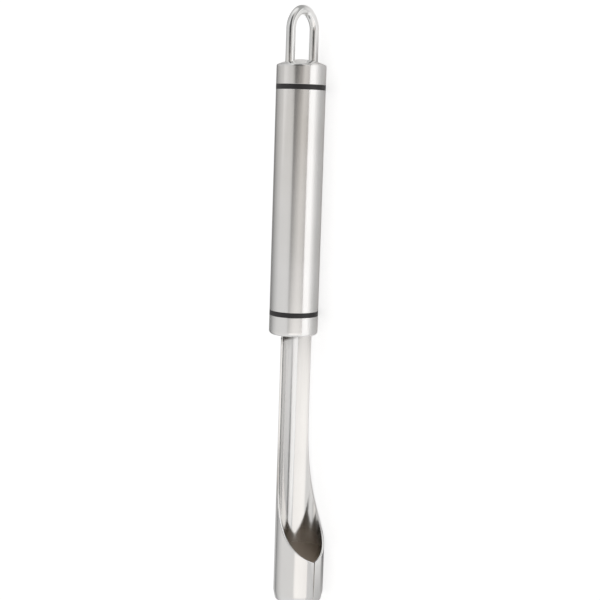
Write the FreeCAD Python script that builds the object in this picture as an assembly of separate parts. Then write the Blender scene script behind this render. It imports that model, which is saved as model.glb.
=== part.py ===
import FreeCAD, Part
import math
import os

# An apple corer, about 24 cm long, that lies on a table.
# It is drawn standing first: the handle's axis is the Z axis, the blade points down, z = 0 is
# the flat face of the lower cap, and the blade's long opening looks along +X.
# All sizes are in millimetres. resting_place() at the end lays every piece down.

# Handle
grip_radius = 10.0
grip_wall = 1.0
grip_length = 89.1
collar_width = 2.0
edge_break = 0.2

# Top cap with its low dome
top_cap_height = 10.0
dome_radius = 23.0
dome_corner = 0.4
dome_corner_slope = 1.6
spigot_radius = 5.0
spigot_length = 9.0

# Lower cap, a pressed cup with an arc slot for the tang
lower_cap_height = 7.9
lower_cap_wall = 1.0
lower_cap_floor = 1.2
lower_cap_corner = 1.3
lower_cap_corner_flats = 3

# Moulded plugs that carry the two black collars
upper_plug_depth = 14.0
lower_plug_depth = 30.0
plug_chamfer = 0.6

# Hanging loop
loop_wire_radius = 1.65
loop_half_width = 6.3
loop_arch_rise = 1.7
loop_crown_tightening = 1.5
loop_reach = 31.3
loop_socket_floor = 2.0

# Rolled blade: one sheet, flat outline first, then rolled round the tube's axis
tube_radius = 10.3
tube_offset = 8.7
sheet_thickness = 0.9
seam_gap = 0.4
blade_reach = 110.1
ring_length = 17.6
opening_length = 60.0
opening_nose_angle = 69.0
opening_nose_pull = 24.4
opening_heel_pull = 18.8
shank_width = 18.4
bevel_length = 3.0
cutting_land = 0.25

# Tang: the blade's narrow end, held in the lower plug
tang_width = 15.4
tang_length = 28.0
shoulder_gap = 0.6
shoulder_round = 0.8
slot_clearance = 0.25
plug_slot_clearance = 0.1

# Pin across the tang
pin_radius = 1.5
pin_height = 24.0
pin_end_clearance = 0.2

# Places that follow from the sizes
bore_radius = grip_radius - grip_wall
lower_collar_bottom = lower_cap_height
lower_collar_top = lower_collar_bottom + collar_width
upper_collar_bottom = lower_collar_top + grip_length
upper_collar_top = upper_collar_bottom + collar_width
dome_apex = upper_collar_top + top_cap_height
loop_top = upper_collar_top + loop_reach
tip_height = -blade_reach
inner_radius = tube_radius - sheet_thickness
seam_width = 2 * math.pi * tube_radius - seam_gap
full_turn = 360.0
quarter_turn = math.pi / 2
same_direction = 1
up = FreeCAD.Vector(0, 0, 1)
handle_axis = FreeCAD.Vector(0, 0, 0)
tube_axis = FreeCAD.Vector(tube_offset, 0, 0)


def cylinder(radius, bottom, top, axis=handle_axis):
    return Part.makeCylinder(radius, top - bottom, axis + up * bottom, up)


def rims(shape, radius, height):
    """The round edges of a shape that have this radius and lie at this height."""
    found = []
    for edge in shape.Edges:
        if edge.Degenerated or not isinstance(edge.Curve, Part.Circle):
            continue
        same_radius = abs(edge.Curve.Radius - radius) < 1e-4
        same_height = abs(edge.BoundBox.ZMin - height) < 1e-4 and abs(edge.BoundBox.ZMax - height) < 1e-4
        if same_radius and same_height:
            found.append(edge)
    return found


def broken(shape, radius, height):
    """The same shape with a small chamfer on its round edge of this radius at this height."""
    return shape.makeChamfer(edge_break, rims(shape, radius, height))


def arc_edge(centre, radius, start_angle, end_angle, plane_point):
    """An arc in an upright plane. Angles are in radians from the level direction, and
    plane_point turns a (level, height) pair into a point of that plane."""
    points = []
    for angle in (start_angle, (start_angle + end_angle) / 2, end_angle):
        level = centre[0] + radius * math.cos(angle)
        height = centre[1] + radius * math.sin(angle)
        points.append(plane_point(level, height))
    return Part.Arc(*points).toShape()


def on_xz(level, height):
    return FreeCAD.Vector(level, 0, height)


def on_yz(level, height):
    return FreeCAD.Vector(0, level, height)


def arc_band(inner, outer, width, bottom, top):
    """A band of the tube's wall, measured round the outside, with its middle at the back."""
    half_angle = math.degrees(width / 2 / tube_radius)
    section = Part.makePolygon([
        FreeCAD.Vector(tube_offset - inner, 0, bottom),
        FreeCAD.Vector(tube_offset - outer, 0, bottom),
        FreeCAD.Vector(tube_offset - outer, 0, top),
        FreeCAD.Vector(tube_offset - inner, 0, top),
        FreeCAD.Vector(tube_offset - inner, 0, bottom),
    ])
    face = Part.Face(section)
    face.rotate(tube_axis, up, -half_angle)
    return face.revolve(tube_axis, up, 2 * half_angle)


def tang_slot(clearance, bottom, top):
    """The arc slot that the tang passes through, wider than the tang by the clearance all round."""
    inner = inner_radius - clearance
    outer = tube_radius + clearance
    return arc_band(inner, outer, tang_width + 2 * clearance, bottom, top)


def cross_hole():
    """The round hole along X for the tang's pin."""
    start = FreeCAD.Vector(-2 * grip_radius, 0, pin_height)
    return Part.makeCylinder(pin_radius, 4 * grip_radius, start, FreeCAD.Vector(1, 0, 0))


def make_grip_tube():
    tube = cylinder(grip_radius, lower_collar_top, upper_collar_bottom)
    tube = tube.cut(cylinder(bore_radius, lower_collar_top, upper_collar_bottom))
    tube = broken(tube, grip_radius, lower_collar_top)
    return broken(tube, grip_radius, upper_collar_bottom)


def make_upper_plug():
    """A collar that shows between the cap and the tube, and a body that seals the tube."""
    bottom = upper_collar_bottom - upper_plug_depth
    body = cylinder(bore_radius, bottom, upper_collar_top)
    body = body.makeChamfer(plug_chamfer, rims(body, bore_radius, bottom))
    plug = body.fuse(cylinder(grip_radius, upper_collar_bottom, upper_collar_top)).removeSplitter()
    plug = plug.cut(cylinder(spigot_radius, upper_collar_top - spigot_length, upper_collar_top))
    plug = broken(plug, grip_radius, upper_collar_bottom)
    return broken(plug, grip_radius, upper_collar_top)


def make_lower_plug():
    """The collar, the body that grips the tang in the tube, and the boss inside the lower cap."""
    top = lower_collar_top + lower_plug_depth
    body = cylinder(bore_radius, lower_cap_floor, top)
    body = body.makeChamfer(plug_chamfer, rims(body, bore_radius, top))
    plug = body.fuse(cylinder(grip_radius, lower_collar_bottom, lower_collar_top)).removeSplitter()
    plug = broken(plug, grip_radius, lower_collar_bottom)
    plug = broken(plug, grip_radius, lower_collar_top)
    plug = plug.cut(tang_slot(plug_slot_clearance, lower_cap_floor, tang_length + plug_slot_clearance))
    return plug.cut(cross_hole())


def make_lower_cap():
    """A pressed cup: its rounded corner is drawn with a few flats that follow the bend."""
    outline = [on_xz(0, lower_collar_bottom), on_xz(0, 0)]
    for step in range(lower_cap_corner_flats + 1):
        turn = step * quarter_turn / lower_cap_corner_flats
        level = grip_radius - lower_cap_corner * (1 - math.sin(turn))
        outline.append(on_xz(level, lower_cap_corner * (1 - math.cos(turn))))
    outline.append(on_xz(grip_radius, lower_collar_bottom - edge_break))
    outline.append(on_xz(grip_radius - edge_break, lower_collar_bottom))
    cap = Part.Face(Part.makePolygon(outline + outline[:1])).revolve(handle_axis, up, full_turn)
    cap = cap.cut(cylinder(grip_radius - lower_cap_wall, lower_cap_floor, lower_collar_bottom))
    return cap.cut(tang_slot(slot_clearance, 0, lower_cap_floor))


def make_top_cap():
    """Turned in one piece: a spigot that enters the plug, a short side, and a low dome."""
    spigot_bottom = upper_collar_top - spigot_length
    dome_centre = dome_apex - dome_radius
    rim = dome_centre + math.sqrt(dome_radius ** 2 - grip_radius ** 2)
    corner_foot = rim - dome_corner
    outline = Part.makePolygon([
        on_xz(0, spigot_bottom),
        on_xz(spigot_radius, spigot_bottom),
        on_xz(spigot_radius, upper_collar_top),
        on_xz(grip_radius - edge_break, upper_collar_top),
        on_xz(grip_radius, upper_collar_top + edge_break),
        on_xz(grip_radius, corner_foot),
        on_xz(0, corner_foot + dome_corner_slope * grip_radius),
        on_xz(0, spigot_bottom),
    ])
    cap = Part.Face(outline).revolve(handle_axis, up, full_turn)
    cap = cap.common(Part.makeSphere(dome_radius, up * dome_centre, FreeCAD.Vector(0, 1, 0)))
    for side in (-1, 1):
        leg = FreeCAD.Vector(0, side * loop_half_width, 0)
        cap = cap.cut(cylinder(loop_wire_radius, upper_collar_top + loop_socket_floor, dome_apex, leg))
    return cap


def make_hanging_loop():
    """Round wire along a tall arch of three tangent arcs, with two straight legs into the cap."""
    leg_bottom = upper_collar_top + loop_socket_floor
    arch_height = loop_half_width + loop_arch_rise
    arch_foot = loop_top - loop_wire_radius - arch_height
    crown_radius = loop_half_width - loop_crown_tightening
    crown_rise = arch_height - crown_radius
    spread = loop_half_width ** 2 - crown_radius ** 2
    haunch_radius = (crown_rise ** 2 + spread) / (2 * loop_crown_tightening)
    haunch_level = loop_half_width - haunch_radius
    turn = math.atan2(crown_rise, -haunch_level)
    path = Part.Wire([
        Part.makeLine(on_yz(loop_half_width, leg_bottom), on_yz(loop_half_width, arch_foot)),
        arc_edge((haunch_level, arch_foot), haunch_radius, 0, turn, on_yz),
        arc_edge((0, arch_foot + crown_rise), crown_radius, turn, math.pi - turn, on_yz),
        arc_edge((-haunch_level, arch_foot), haunch_radius, math.pi - turn, math.pi, on_yz),
        Part.makeLine(on_yz(-loop_half_width, arch_foot), on_yz(-loop_half_width, leg_bottom)),
    ])
    section = Part.Wire(Part.makeCircle(loop_wire_radius, on_yz(loop_half_width, leg_bottom), up))
    return path.makePipeShell([section], True, True)


def blade_outline():
    """Half of the flat outline as pieces of (distance from the back line, height) points.

    Two points make a straight piece, three or four are the poles of a curve.
    """
    seam = seam_width / 2
    shank = shank_width / 2
    tang = tang_width / 2
    nose = tip_height + ring_length
    heel = nose + opening_length
    shoulder = -shoulder_gap
    angle = math.radians(opening_nose_angle)
    nose_pole = (seam - opening_nose_pull * math.sin(angle), nose + opening_nose_pull * math.cos(angle))
    return [
        [(seam, tip_height), (seam, nose)],
        [(seam, nose), nose_pole, (shank, heel - opening_heel_pull), (shank, heel)],
        [(shank, heel), (shank, shoulder - shoulder_round)],
        [(shank, shoulder - shoulder_round), (shank, shoulder), (shank - shoulder_round, shoulder)],
        [(shank - shoulder_round, shoulder), (tang, shoulder)],
        [(tang, shoulder), (tang, tang_length)],
    ]


def rolled_edge(points, surface, side):
    """One piece of the outline, rolled onto a cylinder. The back line is half a turn from +X."""
    poles = [FreeCAD.Base.Vector2d(math.pi + side * across / tube_radius, height) for across, height in points]
    if len(poles) == 2:
        return Part.Geom2d.Line2dSegment(poles[0], poles[1]).toShape(surface)
    curve = Part.Geom2d.BezierCurve2d()
    curve.setPoles(poles)
    return curve.toShape(surface)


def rolled_outline(radius):
    """The closed outline on a cylinder of this radius round the tube's axis, in order."""
    surface = Part.Cylinder()
    surface.Radius = radius
    pieces = blade_outline()
    end_line = [pieces[-1][-1]]
    tip_line = [pieces[0][0]]
    right = [rolled_edge(points, surface, 1) for points in pieces]
    left = [rolled_edge(points[::-1], surface, -1) for points in reversed(pieces)]
    end = rolled_edge([end_line[0], (-end_line[0][0], end_line[0][1])], surface, 1)
    tip = rolled_edge([(-tip_line[0][0], tip_line[0][1]), tip_line[0]], surface, 1)
    return surface, right + [end] + left + [tip]


def bevel_cutter():
    """The ring that the grindstone takes off the outside of the cutting rim."""
    tip = tip_height
    edge_radius = inner_radius + cutting_land
    outside = tube_radius + grip_wall
    slope = (tube_radius - edge_radius) / bevel_length
    reach = (outside - edge_radius) / slope
    section = Part.makePolygon([
        FreeCAD.Vector(edge_radius, 0, tip),
        FreeCAD.Vector(outside, 0, tip),
        FreeCAD.Vector(outside, 0, tip + reach),
        FreeCAD.Vector(edge_radius, 0, tip),
    ])
    return Part.Face(section).revolve(handle_axis, up, full_turn)


def make_coring_blade():
    """The rolled sheet: tang, channel-shaped shank, long opening, and a split ring at the tip."""
    outer_surface, outer_edges = rolled_outline(tube_radius)
    inner_surface, inner_edges = rolled_outline(inner_radius)
    faces = [
        Part.Face(outer_surface, Part.Wire(outer_edges)),
        Part.Face(inner_surface, Part.Wire(inner_edges)),
    ]
    for outer_edge, inner_edge in zip(outer_edges, inner_edges):
        faces.append(Part.makeRuledSurface(outer_edge, inner_edge, same_direction))
    skin = Part.makeCompound(faces)
    skin.sewShape()
    sheet = Part.Solid(skin)
    if sheet.Volume < 0:
        sheet.reverse()
    sheet = sheet.cut(bevel_cutter())
    sheet.translate(tube_axis)
    return sheet.cut(cross_hole())


def make_tang_pin():
    length = 2 * (bore_radius - pin_end_clearance)
    start = FreeCAD.Vector(-length / 2, 0, pin_height)
    return Part.makeCylinder(pin_radius, length, start, FreeCAD.Vector(1, 0, 0))


def resting_place():
    """Turn and shift from the standing drawing to the object lying on z = 0.

    The handle's axis becomes X with the loop at +X, and the opening looks along -Y. The tube is
    a little thicker than the handle, so the object rolls until both touch the table.
    """
    roll = math.asin((tube_radius - grip_radius) / tube_offset)
    opening = FreeCAD.Vector(0, -math.cos(roll), math.sin(roll))
    along = FreeCAD.Vector(1, 0, 0)
    turn = FreeCAD.Rotation(opening, along.cross(opening), along, "ZXY")
    far_side = tube_offset * math.cos(roll) + tube_radius
    shift = FreeCAD.Vector(-(loop_top + tip_height) / 2, (far_side - grip_radius) / 2, grip_radius)
    return FreeCAD.Placement(shift, turn)


def write_parts():
    pieces = {
        "hanging_loop": make_hanging_loop(),
        "top_cap": make_top_cap(),
        "upper_plug": make_upper_plug(),
        "grip_tube": make_grip_tube(),
        "lower_plug": make_lower_plug(),
        "lower_cap": make_lower_cap(),
        "tang_pin": make_tang_pin(),
        "coring_blade": make_coring_blade(),
    }
    os.makedirs("parts", exist_ok=True)
    place = resting_place()
    for name, shape in pieces.items():
        shape.Placement = place.multiply(shape.Placement)
        shape.exportStep("parts/" + name + ".step")
        print(name, round(shape.Volume, 1), "mm3", shape.isValid())


write_parts()
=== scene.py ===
import math

import bpy
from mathutils import Matrix, Vector


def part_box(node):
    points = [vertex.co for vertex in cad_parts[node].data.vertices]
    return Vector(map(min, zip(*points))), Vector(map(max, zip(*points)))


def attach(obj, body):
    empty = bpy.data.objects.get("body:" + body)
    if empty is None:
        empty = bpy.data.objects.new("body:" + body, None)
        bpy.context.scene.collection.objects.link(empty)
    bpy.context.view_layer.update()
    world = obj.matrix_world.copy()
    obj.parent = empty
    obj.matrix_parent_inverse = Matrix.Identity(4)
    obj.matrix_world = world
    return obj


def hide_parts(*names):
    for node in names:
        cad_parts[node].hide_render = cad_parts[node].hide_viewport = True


# An apple corer that lies on a pale floor, seen from above its open side.
# Sizes and places are in metres, in the part's own frame, unless a comment says otherwise.
# X runs from the blade's tip to the hanging loop.

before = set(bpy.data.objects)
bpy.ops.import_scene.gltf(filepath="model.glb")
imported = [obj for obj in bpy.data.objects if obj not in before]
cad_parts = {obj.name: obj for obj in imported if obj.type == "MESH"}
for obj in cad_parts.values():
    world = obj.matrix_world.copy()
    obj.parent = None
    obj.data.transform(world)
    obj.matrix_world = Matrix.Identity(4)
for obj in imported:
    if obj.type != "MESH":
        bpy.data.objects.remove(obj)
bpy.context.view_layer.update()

MM = 0.001
MICRON = 0.000001
TINY = 1e-7

# How finely the meshes are divided
ROUND_STEPS = 240
EDGE_STEPS = 4
CAP_CORNER_STEPS = 8
DOME_STEPS = 24
WIRE_STEPS = 40
ARCH_STEPS = 28
LEG_STEPS = 6
RING_ROWS = 8
OPENING_ROWS = 80
SHANK_ROWS = 12
SHOULDER_ROWS = 6
SHEET_STEPS = 168
SHEET_EDGE_STEPS = 3
SLOT_STEPS = 60
SHARP_ANGLE = math.radians(35)

# Places read from the frame
grip_low, grip_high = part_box("grip_tube")
lower_cap_low, lower_cap_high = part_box("lower_cap")
top_cap_low, top_cap_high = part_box("top_cap")
lower_plug_low, lower_plug_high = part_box("lower_plug")
upper_plug_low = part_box("upper_plug")[0]
loop_low, loop_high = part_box("hanging_loop")
blade_low, blade_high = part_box("coring_blade")

grip_radius = (grip_high.z - grip_low.z) / 2
handle_y = (grip_low.y + grip_high.y) / 2
handle_z = (grip_low.z + grip_high.z) / 2
collar_width = grip_low.x - lower_cap_high.x
cap_start = grip_high.x + collar_width
tube_radius = (blade_high.z - blade_low.z) / 2
tube_y = blade_low.y + tube_radius
tube_z = blade_low.z + tube_radius

# Sizes of the handle's pieces
grip_wall = 1.0 * MM
edge_round = 0.1 * MM
spigot_radius = 5.0 * MM
spigot_clearance = 0.02 * MM
dome_radius = 23.0 * MM
dome_corner = 0.7 * MM
lower_cap_wall = 1.0 * MM
lower_cap_floor = 1.2 * MM
lower_cap_corner = 1.3 * MM
plug_chamfer = 0.6 * MM

# Sizes of the hanging loop
wire_radius = (loop_high.y - loop_low.y) / 2
loop_half_width = (loop_high.z - loop_low.z) / 2 - wire_radius
loop_arch_rise = 1.7 * MM
loop_crown_tightening = 1.5 * MM
socket_clearance = 0.05 * MM

# Sizes of the rolled blade
sheet_thickness = 0.9 * MM
sheet_edge_round = 0.22 * MM
seam_edge_round = 0.08 * MM
seam_gap = 0.4 * MM
ring_length = 17.6 * MM
opening_length = 60.0 * MM
opening_nose_angle = math.radians(69.0)
opening_nose_pull = 24.4 * MM
opening_heel_pull = 18.8 * MM
shank_width = 18.4 * MM
bevel_length = 3.0 * MM
cutting_land = 0.25 * MM
tang_width = 15.4 * MM
tang_length = blade_high.x - lower_cap_low.x
shoulder_gap = 0.6 * MM
shoulder_round = 0.8 * MM
slot_clearance = 0.25 * MM
cutter_margin = 1.0 * MM

# Rows of the blade's mesh this close to a crease or to the seam's end keep it crisp
crease_margin = 0.06 * MM
nose_margin = 0.4 * MM

# Camera: how high over the horizon and how far from a place on the handle's axis it stands,
# and its small turns in radians
view_elevation = math.radians(40.3)
view_distance = 498.83 * MM
view_along = 72.77 * MM
view_yaw = 0.0048
view_pitch = 0.1391
view_roll = -0.0324
view_lens = 73.68
sensor_width = 36.0

# Lamp: one wide soft one, high up past the loop
softbox_place = (1.2, 0.3, 1.3)
softbox_target = (0, 0, 0)
softbox_width = 2.6
softbox_power = 2.5

# Tones of the metal and the plastic, as the darkest and the palest of each cloud
satin_tones = ((0.86, 0.855, 0.845, 1), (0.90, 0.895, 0.89, 1))
wire_tones = ((0.84, 0.84, 0.835, 1), (0.89, 0.89, 0.885, 1))
blade_tones = ((0.81, 0.805, 0.80, 1), (0.85, 0.85, 0.845, 1))
plastic_tones = ((0.016, 0.015, 0.017, 1), (0.03, 0.028, 0.03, 1))

# Grains of the finishes, in features to the metre along X, Y and Z
satin_line_scale = (9000, 60, 60)
satin_cloud_scale = (60, 40, 40)
wire_scratch_scale = (400, 5000, 5000)
wire_cloud_scale = (200, 200, 200)
blade_line_scale = (30, 3000, 3000)
blade_cloud_scale = (50, 120, 120)
plastic_grain_scale = (2500, 2500, 2500)
plastic_cloud_scale = (150, 150, 150)

# Roughness of the finishes: its range over a fine grain, and what the cloud adds to it
satin_line_roughness = (0.12, 0.19)
satin_cloud_roughness = (-0.015, 0.015)
wire_scratch_roughness = (0.06, 0.12)
wire_cloud_roughness = (-0.01, 0.02)
blade_line_roughness = (0.09, 0.14)
blade_cloud_roughness = (-0.01, 0.02)
plastic_roughness = (0.3, 0.45)

# Depths of the bumps that the grains make
satin_line_depth = 2.5 * MICRON
wire_wave_depth = 20 * MICRON
blade_line_depth = 1.5 * MICRON
plastic_grain_depth = 10 * MICRON

# The blade's inside: rougher in the ring up to these places, with a painted shade darkening its tone
# there, and a painted shadow in the corner at the cap. The places are along X, and the shadow's height
# is measured from the tube's axis.
# The bore's darker tone is a painted shade; its roughness is a rougher finish.
bore_painted_shade_tone = (0.60, 0.555, 0.505, 1)
bore_dull_roughness = 0.20
bore_dull_and_shade_end = (blade_low.x + 19.5 * MM, blade_low.x + 24.5 * MM)
bore_tolerance = cutting_land / 3
# A painted shadow of the lower cap on the blade's inside, just under the cap.
cap_shadow_painted_tone = (0.12, 0.11, 0.10, 1)
cap_shadow_place = (lower_cap_low.x - 2.9 * MM, lower_cap_low.x - 1.9 * MM)
cap_shadow_height = (-tube_radius / 2, tube_radius / 4)

# The noise textures keep mostly between these values
NOISE_LOW = 0.3
NOISE_HIGH = 0.7

# The colour sockets of a mix node, which go by number
MIX_FACTOR_INPUT = 0
MIX_FIRST_INPUT = 6
MIX_SECOND_INPUT = 7
MIX_OUTPUT = 2

# Floor: the glow that makes it white for the camera, and a little of it for the steel
floor_half_size = 8.0
floor_colour = (0.5, 0.5, 0.5, 1)
floor_camera_lift = 0.735
floor_steel_lift = 0.16

# Bands of the floor that only reflections show: painted light in front, a painted contact shadow by the
# object, painted dark stripes, and painted shade that falls off behind. A stop is (millimetres along Y,
# level, warmth), and every list covers the range. Negative places are in front, on the camera's side.
floor_band_range = (-50 * MM, 100 * MM)
handle_floor_bands = [
    (-50, 1.46, 0),
    (-27, 1.46, 0),
    (-18, 1.14, 0),
    (-12, 0.84, 0),
    (-8, 0.68, 0),
    (5, 0.60, 0.03),
    (20, 0.66, 0.03),
    (50, 0.28, 0.03),
    (100, 0.12, 0),
]
open_floor_bands = [
    (-50, 1.40, 0),
    (-14, 1.35, 0),
    (-12, 0.92, 0),
    (-9, 0.82, 0),
    (-7, 1.15, 0),
    (6, 1.10, 0.01),
    (20, 0.80, 0.01),
    (50, 0.40, 0.01),
    (100, 0.12, 0),
]
striped_floor_bands = [
    (-50, 1.40, 0),
    (-15, 1.35, 0),
    (-13, 0.12, 0),
    (-10, 0.04, 0),
    (-8, 0.95, 0),
    (0, 0.95, 0),
    (4, 0.25, 0.01),
    (14, 0.18, 0.01),
    (26, 0.55, 0.01),
    (50, 0.40, 0.01),
    (100, 0.12, 0),
]
tip_floor_bands = [
    (-50, 0.84, 0),
    (-25, 0.72, 0),
    (-12, 0.64, 0),
    (100, 0.60, 0),
]
# Painted shade on the floor past the loop, which only reflections show.
loop_floor_painted_shade = (0.38, 0.38, 0.38, 1)

# Where, along X, one stretch of the floor turns into the next
handle_floor_start = (lower_cap_low.x - grip_radius, lower_cap_low.x)
handle_floor_end = (top_cap_high.x, top_cap_high.x + grip_radius)
striped_floor_end = (blade_low.x + 50 * MM, lower_cap_low.x)
tip_floor_end = (blade_low.x, blade_low.x + 2 * tube_radius)
loop_floor_start = (loop_high.x, loop_high.x + 2 * grip_radius)

# Bands of the studio's walls. A stop is (degrees, level, warmth). The degrees go from the
# horizon in front, over the top, to the horizon behind.
crown_bands = [
    (0, 0.62, 0.02),
    (36, 0.56, 0.02),
    (40, 0.04, 0),
    (74, 0.04, 0),
    (79, 0.80, 0),
    (90, 0.74, 0),
    (102, 0.50, 0),
    (180, 0.48, 0),
]
loop_bands = [
    (0, 0.75, 0.02),
    (22, 0.70, 0.02),
    (34, 0.06, 0),
    (74, 0.05, 0),
    (80, 0.50, 0),
    (150, 0.62, 0),
    (180, 0.55, 0),
]
middle_bands = [
    (0, 0.42, 0.06),
    (12, 0.54, 0.06),
    (28, 0.62, 0.06),
    (44, 0.43, 0.06),
    (60, 0.24, 0.05),
    (66, 0.24, 0.04),
    (71, 0.62, 0.035),
    (84, 0.66, 0.035),
    (125, 0.66, 0.03),
    (148, 0.54, 0.025),
    (180, 0.32, 0.02),
]
blade_bands = [
    (0, 0.48, 0.02),
    (14, 0.68, 0.02),
    (30, 0.74, 0.02),
    (44, 0.66, 0.02),
    (60, 0.46, 0.02),
    (66, 0.46, 0.01),
    (71, 0.68, 0),
    (90, 0.72, 0),
    (125, 0.68, 0),
    (148, 0.52, 0),
    (180, 0.24, 0),
]
tip_bands = [
    (0, 1.00, 0.03),
    (48, 1.08, 0.03),
    (57, 1.05, 0.03),
    (65, 0.76, 0.015),
    (128, 0.74, 0.015),
    (150, 0.60, 0.015),
    (165, 0.42, 0),
    (180, 0.20, 0),
]
loop_end_light = (0.78, 0.78, 0.77, 1)
tip_end_light = (0.80, 0.80, 0.80, 1)
background_light = (1, 1, 1, 1)

# Each stretch of wall takes over from the one listed before it, the crown's at first, as the
# X part of a direction falls from its second number to its first. The two ends come last.
wall_stretches = [
    (loop_bands, 0.22, 0.40),
    (middle_bands, 0.052, 0.066),
    (blade_bands, -0.16, 0.0),
    (tip_bands, -0.185, -0.163),
]
loop_end_start = (0.7, 0.9)
tip_end_start = (-0.75, -0.45)


def shade(mesh):
    """Smooth shading, with a crease where the faces turn by more than the sharp angle."""
    mesh.shade_smooth()
    mesh.set_sharp_from_angle(angle=SHARP_ANGLE)


def mesh_object(name, points, faces):
    mesh = bpy.data.meshes.new(name)
    mesh.from_pydata(points, [], faces)
    mesh.validate()
    shade(mesh)
    piece = bpy.data.objects.new(name, mesh)
    bpy.context.scene.collection.objects.link(piece)
    return piece


def arc(centre, radius, start, end, steps):
    """Points along an arc of a profile. Angles are from the radial direction towards +X."""
    points = []
    for i in range(steps + 1):
        angle = start + (end - start) * i / steps
        points.append((centre[0] + radius * math.sin(angle), centre[1] + radius * math.cos(angle)))
    return points


def softened(corners, steps=EDGE_STEPS):
    """A profile whose corners, given as (x, radius, rounding), are rounded.

    A point on each side of a rounding keeps the long faces next to it flat in the shading.
    """
    points = []
    for i, (x, radius, rounding) in enumerate(corners):
        if rounding == 0:
            points.append((x, radius))
            continue
        corner = Vector((x, radius))
        before = (Vector(corners[i - 1][:2]) - corner).normalized()
        after = (Vector(corners[(i + 1) % len(corners)][:2]) - corner).normalized()
        half = before.angle(after) / 2
        centre = corner + (before + after).normalized() * rounding / math.sin(half)
        first = corner + before * rounding / math.tan(half) - centre
        last = corner + after * rounding / math.tan(half) - centre
        margin = rounding / 2
        points.append(tuple(centre + first + before * margin))
        for k in range(steps + 1):
            spoke = first.lerp(last, k / steps).normalized() * rounding
            points.append(tuple(centre + spoke))
        points.append(tuple(centre + last + after * margin))
    return points


def turned(name, profile):
    """Turns a closed profile of (x, radius) points round the handle's axis."""
    points = []
    rings = []
    for x, radius in profile:
        if radius < TINY:
            rings.append([len(points)])
            points.append((x, handle_y, handle_z))
            continue
        ring = []
        for k in range(ROUND_STEPS):
            angle = 2 * math.pi * k / ROUND_STEPS
            ring.append(len(points))
            points.append((x, handle_y + radius * math.cos(angle), handle_z + radius * math.sin(angle)))
        rings.append(ring)
    faces = []
    for ring, following in zip(rings, rings[1:] + rings[:1]):
        for k in range(ROUND_STEPS):
            after = (k + 1) % ROUND_STEPS
            if len(ring) > 1 and len(following) > 1:
                faces.append((ring[k], following[k], following[after], ring[after]))
            elif len(ring) > 1:
                faces.append((ring[k], following[0], ring[after]))
            elif len(following) > 1:
                faces.append((ring[0], following[k], following[after]))
    return mesh_object(name, points, faces)


def skinned(name, sections, end_caps):
    """Joins closed sections of equal length into one skin and adds the faces that close its ends."""
    size = len(sections[0])
    points = [point for section in sections for point in section]
    faces = []
    for i in range(len(sections) - 1):
        for k in range(size):
            after = (k + 1) % size
            start = i * size
            faces.append((start + k, start + size + k, start + size + after, start + after))
    last = (len(sections) - 1) * size
    for cap in end_caps:
        faces.append(tuple(cap))
        faces.append(tuple(last + k for k in reversed(cap)))
    return mesh_object(name, points, faces)


def cut_away(piece, cutters):
    """Cuts these closed meshes out of the piece and deletes them."""
    for cutter in cutters:
        change = piece.modifiers.new("cut", "BOOLEAN")
        change.operation = "DIFFERENCE"
        change.solver = "EXACT"
        change.object = cutter
    depsgraph = bpy.context.evaluated_depsgraph_get()
    mesh = bpy.data.meshes.new_from_object(piece.evaluated_get(depsgraph))
    piece.modifiers.clear()
    piece.data = mesh
    for cutter in cutters:
        bpy.data.objects.remove(cutter)
    shade(mesh)


def make_grip_tube():
    """The plain tube of the grip."""
    inner = grip_radius - grip_wall
    return turned("grip_sleeve", softened([
        (grip_low.x, inner, 0),
        (grip_low.x, grip_radius, edge_round),
        (grip_high.x, grip_radius, edge_round),
        (grip_high.x, inner, 0),
    ]))


def make_upper_plug():
    """The moulded plug whose collar shows between the tube and the top cap."""
    inner = grip_radius - grip_wall
    start = upper_plug_low.x
    return turned("upper_collar", softened([
        (start, 0, 0),
        (start, inner - plug_chamfer, 0),
        (start + plug_chamfer, inner, 0),
        (grip_high.x, inner, 0),
        (grip_high.x, grip_radius, edge_round),
        (cap_start, grip_radius, edge_round),
        (cap_start, spigot_radius + spigot_clearance, 0),
        (top_cap_low.x, spigot_radius + spigot_clearance, 0),
        (top_cap_low.x, 0, 0),
    ]))


def make_lower_plug():
    """The moulded plug whose collar shows between the lower cap and the tube."""
    inner = grip_radius - grip_wall
    end = lower_plug_high.x
    return turned("lower_collar", softened([
        (lower_plug_low.x, 0, 0),
        (lower_plug_low.x, inner, 0),
        (lower_cap_high.x, inner, 0),
        (lower_cap_high.x, grip_radius, edge_round),
        (grip_low.x, grip_radius, edge_round),
        (grip_low.x, inner, 0),
        (end - plug_chamfer, inner, 0),
        (end, inner - plug_chamfer, 0),
        (end, 0, 0),
    ]))


def make_top_cap():
    """The turned cap: a low dome with a softened rim, and two sockets for the loop's legs."""
    dome_centre = top_cap_high.x - dome_radius
    corner_level = grip_radius - dome_corner
    corner_rise = math.sqrt((dome_radius - dome_corner) ** 2 - corner_level ** 2)
    dome_start = math.atan2(corner_rise, corner_level)
    side = softened([
        (top_cap_low.x, 0, 0),
        (top_cap_low.x, spigot_radius, 0),
        (cap_start, spigot_radius, 0),
        (cap_start, grip_radius, edge_round),
        (dome_centre + corner_rise, grip_radius, 0),
    ])[:-1]
    side.append((dome_centre + corner_rise - dome_corner / 2, grip_radius))
    corner_centre = (dome_centre + corner_rise, corner_level)
    corner = arc(corner_centre, dome_corner, 0, dome_start, CAP_CORNER_STEPS)
    dome = arc((dome_centre, 0), dome_radius, dome_start, math.pi / 2, DOME_STEPS)
    dome[-1] = (top_cap_high.x, 0)
    cap = turned("domed_cap", side + corner + dome[1:])
    sockets = []
    for side_sign in (-1, 1):
        leg_z = handle_z + side_sign * loop_half_width
        places = [Vector((x, handle_y, leg_z)) for x in (loop_low.x, top_cap_high.x)]
        sockets.append(wire("socket", places, wire_radius + socket_clearance))
    cut_away(cap, sockets)
    return cap


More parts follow.
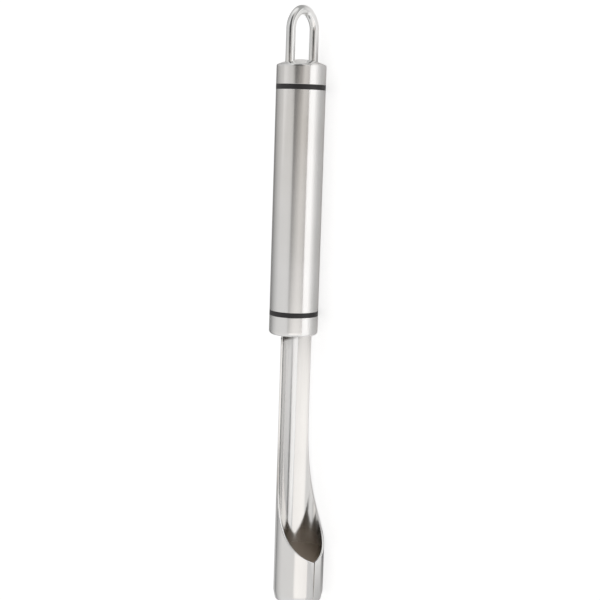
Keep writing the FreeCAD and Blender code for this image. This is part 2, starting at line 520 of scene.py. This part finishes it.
def loop_path():
    """The loop's centre line: two straight legs and a tall arch of three tangent arcs."""
    arch_height = loop_half_width + loop_arch_rise
    foot = loop_high.x - wire_radius - arch_height
    crown = loop_half_width - loop_crown_tightening
    crown_rise = arch_height - crown
    haunch = (crown_rise ** 2 + loop_half_width ** 2 - crown ** 2) / (2 * loop_crown_tightening)
    haunch_centre = loop_half_width - haunch
    turn = math.atan2(crown_rise, -haunch_centre)
    leg_length = foot - loop_low.x
    right = [(loop_low.x + leg_length * k / LEG_STEPS, loop_half_width) for k in range(LEG_STEPS)]
    right += arc((foot, haunch_centre), haunch, 0, turn, ARCH_STEPS)
    right += arc((foot + crown_rise, 0), crown, turn, math.pi / 2, ARCH_STEPS)[1:]
    left = [(x, -level) for x, level in reversed(right[:-1])]
    return [Vector((x, handle_y, handle_z + level)) for x, level in right + left]


def wire(name, path, radius):
    """A round wire along a path that lies in an upright plane through the handle's axis."""
    sideways = Vector((0, 1, 0))
    sections = []
    for i, place in enumerate(path):
        tangent = (path[min(i + 1, len(path) - 1)] - path[max(i - 1, 0)]).normalized()
        upward = tangent.cross(sideways)
        section = []
        for k in range(WIRE_STEPS):
            angle = 2 * math.pi * k / WIRE_STEPS
            section.append(place + radius * (math.cos(angle) * sideways + math.sin(angle) * upward))
        sections.append(section)
    return skinned(name, sections, [range(WIRE_STEPS)])


def blade_frame():
    """The directions to the tube's back line and to its side, from the roll of the lying object."""
    offset = math.hypot(handle_y - tube_y, handle_z - tube_z)
    roll = math.asin((tube_radius - grip_radius) / offset)
    opening = Vector((0, -math.cos(roll), math.sin(roll)))
    return -opening, Vector((1, 0, 0)).cross(opening)


def rolled_point(across, height, radius):
    """A point of the flat sheet, (distance from the back line, height), rolled onto the tube."""
    back, side = blade_frame()
    angle = across / tube_radius
    axis = Vector((lower_cap_low.x + height, tube_y, tube_z))
    return axis + radius * (math.cos(angle) * back + math.sin(angle) * side)


def bezier(poles, share):
    """The point at a share of the way along the Bezier curve with these poles."""
    points = [Vector(pole) for pole in poles]
    while len(points) > 1:
        points = [a.lerp(b, share) for a, b in zip(points, points[1:])]
    return points[0]


def blade_outline():
    """Half of the flat outline from the tip to the tang's end, as (across, height) points."""
    tip = blade_low.x - lower_cap_low.x
    bevel_end = tip + bevel_length
    nose = tip + ring_length
    heel = nose + opening_length
    shoulder = -shoulder_gap
    shank_end = shoulder - shoulder_round
    seam = math.pi * tube_radius - seam_gap / 2
    shank = shank_width / 2
    tang = tang_width / 2

    rows = [tip, tip + crease_margin, bevel_end - crease_margin, bevel_end + crease_margin]
    rows += [bevel_end + (nose - bevel_end) * k / RING_ROWS for k in range(1, RING_ROWS)]
    rows.append(nose - nose_margin)
    points = [Vector((seam, row)) for row in rows]

    across_pull = opening_nose_pull * math.sin(opening_nose_angle)
    upward_pull = opening_nose_pull * math.cos(opening_nose_angle)
    opening = [
        (seam, nose),
        (seam - across_pull, nose + upward_pull),
        (shank, heel - opening_heel_pull),
        (shank, heel),
    ]
    points += [bezier(opening, k / OPENING_ROWS) for k in range(OPENING_ROWS + 1)]
    points += [Vector((shank, heel + (shank_end - heel) * k / SHANK_ROWS)) for k in range(1, SHANK_ROWS)]

    corner = [(shank, shank_end), (shank, shoulder), (shank - shoulder_round, shoulder)]
    points += [bezier(corner, k / SHOULDER_ROWS) for k in range(SHOULDER_ROWS + 1)]
    points += [Vector((tang, shoulder + crease_margin)), Vector((tang, tang_length))]
    return points


def outward(points, i):
    """The flat outline's outward normal at a point, stretched at a corner so that offsets stay even."""
    most_stretch = 2
    here = points[i]
    before = here - points[i - 1] if i > 0 else points[1] - here
    after = points[i + 1] - here if i < len(points) - 1 else before
    first = before.normalized()
    last = after.normalized()
    along = (first + last).normalized()
    stretch = 1 / max(along.dot(first), 1 / most_stretch)
    return Vector((along.y, -along.x)) * stretch


def sheet_section(edge, normal, outer, inner, rounding):
    """A closed C of points through the rolled sheet, with rounded edges at both ends."""
    turns = [math.pi / 2 * k / SHEET_EDGE_STEPS for k in range(SHEET_EDGE_STEPS + 1)]
    rim = []
    for turn in turns:
        rim.append((rounding * (1 - math.sin(turn)), outer - rounding * (1 - math.cos(turn))))
    for turn in reversed(turns):
        rim.append((rounding * (1 - math.sin(turn)), inner + rounding * (1 - math.cos(turn))))
    inset = edge - rounding * normal
    section = []
    for k in range(SHEET_STEPS):
        share = 2 * k / SHEET_STEPS - 1
        section.append(rolled_point(share * inset.x, inset.y, outer))
    for depth, radius in rim:
        place = edge - depth * normal
        section.append(rolled_point(place.x, place.y, radius))
    for k in range(1, SHEET_STEPS):
        share = 1 - 2 * k / SHEET_STEPS
        section.append(rolled_point(share * inset.x, inset.y, inner))
    for depth, radius in reversed(rim[1:]):
        place = edge - depth * normal
        section.append(rolled_point(-place.x, place.y, radius))
    return section


def make_blade():
    """One rolled sheet with rounded edges, a ground bevel at the tip and a tang in the handle."""
    tip = blade_low.x - lower_cap_low.x
    inner = tube_radius - sheet_thickness
    cutting_radius = inner + cutting_land
    points = blade_outline()
    sections = []
    for i, edge in enumerate(points):
        ground = min(1, (edge.y - tip) / bevel_length)
        outer = cutting_radius + (tube_radius - cutting_radius) * ground
        rounding = sheet_edge_round
        if edge.y < tip + ring_length - sheet_edge_round:
            rounding = seam_edge_round
        if edge.y > -shoulder_gap - shoulder_round:
            rounding = TINY
        sections.append(sheet_section(edge, outward(points, i), outer, inner, rounding))
    size = len(sections[0])
    rim_size = 2 * (SHEET_EDGE_STEPS + 1)
    right_rim = list(range(SHEET_STEPS, SHEET_STEPS + rim_size))
    left_rim = [0] + list(range(size - 1, size - rim_size, -1))
    caps = [right_rim, list(reversed(left_rim))]
    for k in range(SHEET_STEPS):
        inner_here = SHEET_STEPS + rim_size + (SHEET_STEPS - 1 - k)
        inner_after = inner_here - 1
        if k == 0:
            inner_here = left_rim[-1]
        caps.append([k, k + 1, inner_after, inner_here])
    return skinned("rolled_blade", sections, caps)


def slot_cutter():
    """The arc slot in the lower cap's face, a little wider than the tang all round."""
    half = tang_width / 2 + slot_clearance
    outer = tube_radius + slot_clearance
    inner = tube_radius - sheet_thickness - slot_clearance
    across = [half * (2 * k / SLOT_STEPS - 1) for k in range(SLOT_STEPS + 1)]
    sections = []
    for height in (-cutter_margin, lower_cap_floor + cutter_margin):
        section = [rolled_point(place, height, outer) for place in across]
        section += [rolled_point(place, height, inner) for place in reversed(across)]
        sections.append(section)
    size = 2 * (SLOT_STEPS + 1)
    caps = [[k, k + 1, size - 2 - k, size - 1 - k] for k in range(SLOT_STEPS)]
    return skinned("slot_cutter", sections, caps)


def make_lower_cap():
    """The pressed cup with a rounded rim and the slot that the tang passes through."""
    start = lower_cap_low.x
    inner = grip_radius - lower_cap_wall
    cap = turned("slotted_cap", softened([
        (start, 0, 0),
        (start, grip_radius, lower_cap_corner),
        (lower_cap_high.x, grip_radius, edge_round),
        (lower_cap_high.x, inner, 0),
        (start + lower_cap_floor, inner, 0),
        (start + lower_cap_floor, 0, 0),
    ], CAP_CORNER_STEPS))
    cut_away(cap, [slot_cutter()])
    return cap


class Shading:
    """A new material and short calls that add nodes to it."""

    def __init__(self, name):
        self.material = bpy.data.materials.new(name)
        self.material.use_nodes = True
        self.nodes = self.material.node_tree.nodes
        self.links = self.material.node_tree.links
        self.shader = self.nodes["Principled BSDF"]

    def add(self, kind, **inputs):
        node = self.nodes.new(kind)
        for name, value in inputs.items():
            self.put(node, name.replace("_", " "), value)
        return node

    def put(self, node, name, value):
        if isinstance(value, bpy.types.NodeSocket):
            self.links.new(value, node.inputs[name])
        else:
            node.inputs[name].default_value = value

    def place(self):
        return self.add("ShaderNodeTexCoord").outputs["Object"]

    def mapped(self, vector, **changes):
        return self.add("ShaderNodeMapping", Vector=vector, **changes).outputs["Vector"]

    def split(self, vector):
        return self.add("ShaderNodeSeparateXYZ", Vector=vector).outputs

    def math(self, operation, first, second=0.0):
        node = self.nodes.new("ShaderNodeMath")
        node.operation = operation
        self.put(node, 0, first)
        self.put(node, 1, second)
        return node.outputs[0]

    def length(self, vector):
        node = self.nodes.new("ShaderNodeVectorMath")
        node.operation = "LENGTH"
        self.links.new(vector, node.inputs[0])
        return node.outputs["Value"]

    def noise(self, place, scale, detail, roughness=0.5):
        """Noise whose scale is stated for each axis, in features to the metre."""
        node = self.add("ShaderNodeTexNoise", Vector=self.mapped(place, Scale=scale), Scale=1.0)
        self.put(node, "Detail", detail)
        self.put(node, "Roughness", roughness)
        return node.outputs["Fac"]

    def spread(self, value, low, high, from_low=NOISE_LOW, from_high=NOISE_HIGH):
        """Stretches a value's own range, the last two numbers, to run from low to high."""
        node = self.add("ShaderNodeMapRange", Value=value)
        self.put(node, "From Min", from_low)
        self.put(node, "From Max", from_high)
        self.put(node, "To Min", low)
        self.put(node, "To Max", high)
        return node.outputs["Result"]

    def blend(self, factor, first, second):
        """The first colour where the factor is 0, and the second where it is 1."""
        node = self.nodes.new("ShaderNodeMix")
        node.data_type = "RGBA"
        self.put(node, MIX_FACTOR_INPUT, factor)
        self.put(node, MIX_FIRST_INPUT, first)
        self.put(node, MIX_SECOND_INPUT, second)
        return node.outputs[MIX_OUTPUT]

    def bands(self, value, stops):
        """Light by a value from 0 to 1. The stops are (place, level, warmth) on any even scale."""
        first = stops[0][0]
        last = stops[-1][0]
        node = self.add("ShaderNodeValToRGB", Fac=value)
        elements = node.color_ramp.elements
        for stop in stops[1:-1]:
            elements.new((stop[0] - first) / (last - first))
        for element, (place, level, warmth) in zip(elements, stops):
            element.position = (place - first) / (last - first)
            element.color = (level * (1 + warmth), level, level * (1 - warmth), 1)
        return node.outputs["Color"]

    def bump(self, height, depth):
        node = self.add("ShaderNodeBump", Height=height, Distance=depth)
        self.links.new(node.outputs["Normal"], self.shader.inputs["Normal"])

    def finish(self, **inputs):
        for name, value in inputs.items():
            self.put(self.shader, name.replace("_", " "), value)
        return self.material


def turned_position(shading):
    """Places for a finish whose fine lines run round the handle, and in circles on its end faces."""
    centred = shading.mapped(shading.place(), Location=(0, -handle_y, -handle_z))
    from_axis = shading.length(shading.mapped(centred, Scale=(0, 1, 1)))
    split = shading.split(centred)
    along = shading.math("ADD", split["X"], from_axis)
    joined = shading.add("ShaderNodeCombineXYZ", X=along, Y=split["Y"], Z=split["Z"])
    return joined.outputs["Vector"]


def satin_steel():
    """Satin finish of fine turned lines, under a faint cloud."""
    shading = Shading("satin_steel")
    place = turned_position(shading)
    lines = shading.noise(place, satin_line_scale, detail=3, roughness=0.6)
    cloud = shading.noise(place, satin_cloud_scale, detail=4)
    tone = shading.blend(shading.spread(cloud, 0, 1), *satin_tones)
    line_roughness = shading.spread(lines, *satin_line_roughness)
    cloud_roughness = shading.spread(cloud, *satin_cloud_roughness)
    roughness = shading.math("ADD", line_roughness, cloud_roughness)
    shading.bump(lines, satin_line_depth)
    return shading.finish(Base_Color=tone, Metallic=1.0, Roughness=roughness)


def polished_steel():
    """Polished wire with slight waves and fine scratches along X."""
    shading = Shading("polished_steel")
    place = shading.place()
    cloud = shading.noise(place, wire_cloud_scale, detail=4)
    scratches = shading.noise(place, wire_scratch_scale, detail=3, roughness=0.6)
    tone = shading.blend(shading.spread(cloud, 0, 1), *wire_tones)
    scratch_roughness = shading.spread(scratches, *wire_scratch_roughness)
    cloud_roughness = shading.spread(cloud, *wire_cloud_roughness)
    roughness = shading.math("ADD", scratch_roughness, cloud_roughness)
    shading.bump(cloud, wire_wave_depth)
    return shading.finish(Base_Color=tone, Metallic=1.0, Roughness=roughness)


def blade_steel():
    """Bright lengthwise polish. The ring's bore is rougher and darkened by painted shade, and the corner
    at the cap holds a painted shadow.
    """
    shading = Shading("blade_steel")
    place = shading.place()
    lines = shading.noise(place, blade_line_scale, detail=3, roughness=0.6)
    cloud = shading.noise(place, blade_cloud_scale, detail=4)
    line_roughness = shading.spread(lines, *blade_line_roughness)
    cloud_roughness = shading.spread(cloud, *blade_cloud_roughness)
    polish = shading.math("ADD", line_roughness, cloud_roughness)
    tone = shading.blend(shading.spread(cloud, 0, 1), *blade_tones)

    centred = shading.mapped(place, Location=(0, -tube_y, -tube_z))
    split = shading.split(centred)
    from_axis = shading.length(shading.mapped(centred, Scale=(0, 1, 1)))
    inner = tube_radius - sheet_thickness
    inside = shading.math("LESS_THAN", from_axis, inner + bore_tolerance)
    # The ring's bore: rougher, and darker in tone as a painted shade.
    dull_and_shaded = shading.math("MULTIPLY", inside, shading.spread(split["X"], 1, 0, *bore_dull_and_shade_end))
    tone = shading.blend(dull_and_shaded, tone, bore_painted_shade_tone)
    # Painted shadow of the lower cap on the blade's inside, just under the cap.
    under_cap = shading.spread(split["X"], 0, 1, *cap_shadow_place)
    upper_side = shading.spread(split["Z"], 0, 1, *cap_shadow_height)
    corner = shading.math("MULTIPLY", shading.math("MULTIPLY", under_cap, upper_side), inside)
    tone = shading.blend(corner, tone, cap_shadow_painted_tone)

    dullness = shading.math("MULTIPLY", dull_and_shaded, bore_dull_roughness)
    roughness = shading.math("ADD", polish, dullness)
    shading.bump(lines, blade_line_depth)
    return shading.finish(Base_Color=tone, Metallic=1.0, Roughness=roughness)


def black_plastic():
    """Moulded plastic with a fine grain."""
    shading = Shading("black_plastic")
    place = shading.place()
    grain = shading.noise(place, plastic_grain_scale, detail=3)
    cloud = shading.noise(place, plastic_cloud_scale, detail=3)
    tone = shading.blend(cloud, *plastic_tones)
    shading.bump(grain, plastic_grain_depth)
    return shading.finish(Base_Color=tone, Roughness=shading.spread(grain, *plastic_roughness))


def add_floor():
    """A wide floor, white to the camera. Reflections show it in bands of painted light and shade, with a
    painted contact shadow and painted shade that falls off behind.
    """
    size = floor_half_size
    corners = [(-size, -size, 0), (size, -size, 0), (size, size, 0), (-size, size, 0)]
    mesh = bpy.data.meshes.new("floor")
    mesh.from_pydata(corners, [], [(0, 1, 2, 3)])
    floor = bpy.data.objects.new("floor", mesh)
    bpy.context.scene.collection.objects.link(floor)

    shading = Shading("floor_white")
    shading.nodes.remove(shading.shader)
    split = shading.split(shading.place())
    across = shading.spread(split["Y"], 0, 1, *floor_band_range)
    along = split["X"]
    after_blade = shading.spread(along, 0, 1, *handle_floor_start)
    before_loop = shading.spread(along, 1, 0, *handle_floor_end)
    by_handle = shading.math("MULTIPLY", after_blade, before_loop)
    by_opening = shading.spread(along, 1, 0, *striped_floor_end)
    past_tip = shading.spread(along, 1, 0, *tip_floor_end)
    past_loop = shading.spread(along, 0, 1, *loop_floor_start)
    # Painted light and shade: the floor's bands, which only reflections show.
    bands = shading.bands(across, open_floor_bands)
    bands = shading.blend(by_opening, bands, shading.bands(across, striped_floor_bands))
    bands = shading.blend(by_handle, bands, shading.bands(across, handle_floor_bands))
    bands = shading.blend(past_tip, bands, shading.bands(across, tip_floor_bands))
    bands = shading.blend(past_loop, bands, loop_floor_painted_shade)

    ray = shading.add("ShaderNodeLightPath").outputs
    colour = shading.blend(ray["Is Glossy Ray"], floor_colour, bands)
    camera_lift = shading.math("MULTIPLY", ray["Is Camera Ray"], floor_camera_lift)
    steel_lift = shading.math("MULTIPLY", ray["Is Glossy Ray"], floor_steel_lift)
    lift = shading.math("ADD", camera_lift, steel_lift)
    diffuse = shading.add("ShaderNodeBsdfDiffuse", Color=colour)
    glow = shading.add("ShaderNodeEmission", Strength=lift)
    total = shading.add("ShaderNodeAddShader")
    shading.links.new(diffuse.outputs[0], total.inputs[0])
    shading.links.new(glow.outputs[0], total.inputs[1])
    shading.links.new(total.outputs[0], shading.nodes["Material Output"].inputs["Surface"])
    mesh.materials.append(shading.material)


class World(Shading):
    """The same short calls for the world's nodes."""

    def __init__(self, name):
        world = bpy.data.worlds.new(name)
        world.use_nodes = True
        bpy.context.scene.world = world
        self.nodes = world.node_tree.nodes
        self.links = world.node_tree.links
        self.shader = self.nodes["Background"]


def add_world():
    """Studio walls in bands that run along the object: a darker one over the camera, pale ends."""
    world = World("studio")
    direction = world.split(world.add("ShaderNodeTexCoord").outputs["Generated"])
    along = direction["X"]
    frontward = world.math("MULTIPLY", direction["Y"], -1.0)
    angle = world.math("ARCTAN2", direction["Z"], frontward)
    turn = world.spread(angle, 0, 1, 0, math.pi)
    walls = world.bands(turn, crown_bands)
    for stops, full, start in wall_stretches:
        reached = world.spread(along, 1, 0, full, start)
        walls = world.blend(reached, walls, world.bands(turn, stops))
    walls = world.blend(world.spread(along, 0, 1, *loop_end_start), walls, loop_end_light)
    walls = world.blend(world.spread(along, 1, 0, *tip_end_start), walls, tip_end_light)
    ray = world.add("ShaderNodeLightPath").outputs
    seen = world.blend(ray["Is Camera Ray"], walls, background_light)
    world.links.new(seen, world.shader.inputs["Color"])


def add_lamp():
    """The soft lamp, turned to face its target."""
    lamp = bpy.data.lights.new("loop_side_softbox", "AREA")
    lamp.shape = "RECTANGLE"
    lamp.size = softbox_width
    lamp.size_y = softbox_width
    lamp.energy = softbox_power
    holder = bpy.data.objects.new("loop_side_softbox", lamp)
    holder.location = softbox_place
    facing = Vector(softbox_target) - Vector(softbox_place)
    holder.rotation_euler = facing.to_track_quat("-Z", "Y").to_euler()
    bpy.context.scene.collection.objects.link(holder)


def add_camera():
    """The photograph's viewing angle: over the open side, with the loop at the top of the picture."""
    right = Vector((0, -math.sin(view_elevation), -math.cos(view_elevation)))
    upward = Vector((1, 0, 0))
    backward = Vector((0, -math.cos(view_elevation), math.sin(view_elevation)))
    base = Matrix((right, upward, backward)).transposed()
    pitch_and_yaw = Matrix.Rotation(view_pitch, 3, "X") @ Matrix.Rotation(view_yaw, 3, "Y")
    turn = Matrix.Rotation(view_roll, 3, "Z") @ pitch_and_yaw
    facing = base @ turn.transposed()
    place = Vector((view_along, handle_y, handle_z)) + backward * view_distance
    data = bpy.data.cameras.new("camera")
    data.lens = view_lens
    data.sensor_width = sensor_width
    camera = bpy.data.objects.new("camera", data)
    camera.matrix_world = Matrix.Translation(place) @ facing.to_4x4()
    bpy.context.scene.collection.objects.link(camera)
    bpy.context.scene.camera = camera


def dress(piece, node, finish):
    """Gives a piece its finish, hides the solid that it stands for, and lets it ride on the body."""
    piece.data.materials.clear()
    piece.data.materials.append(finishes[finish])
    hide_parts(node)
    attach(piece, "root")


finishes = {
    "satin_steel": satin_steel(),
    "polished_steel": polished_steel(),
    "blade_steel": blade_steel(),
    "black_plastic": black_plastic(),
}

dress(make_grip_tube(), "grip_tube", "satin_steel")
dress(make_upper_plug(), "upper_plug", "black_plastic")
dress(make_lower_plug(), "lower_plug", "black_plastic")
dress(make_top_cap(), "top_cap", "satin_steel")
dress(make_lower_cap(), "lower_cap", "satin_steel")
dress(wire("bent_wire_loop", loop_path(), wire_radius), "hanging_loop", "polished_steel")
dress(make_blade(), "coring_blade", "blade_steel")

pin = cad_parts["tang_pin"]
pin.data.materials.clear()
pin.data.materials.append(finishes["satin_steel"])

bpy.context.scene.view_settings.view_transform = "Standard"
add_floor()
add_world()
add_lamp()
add_camera()
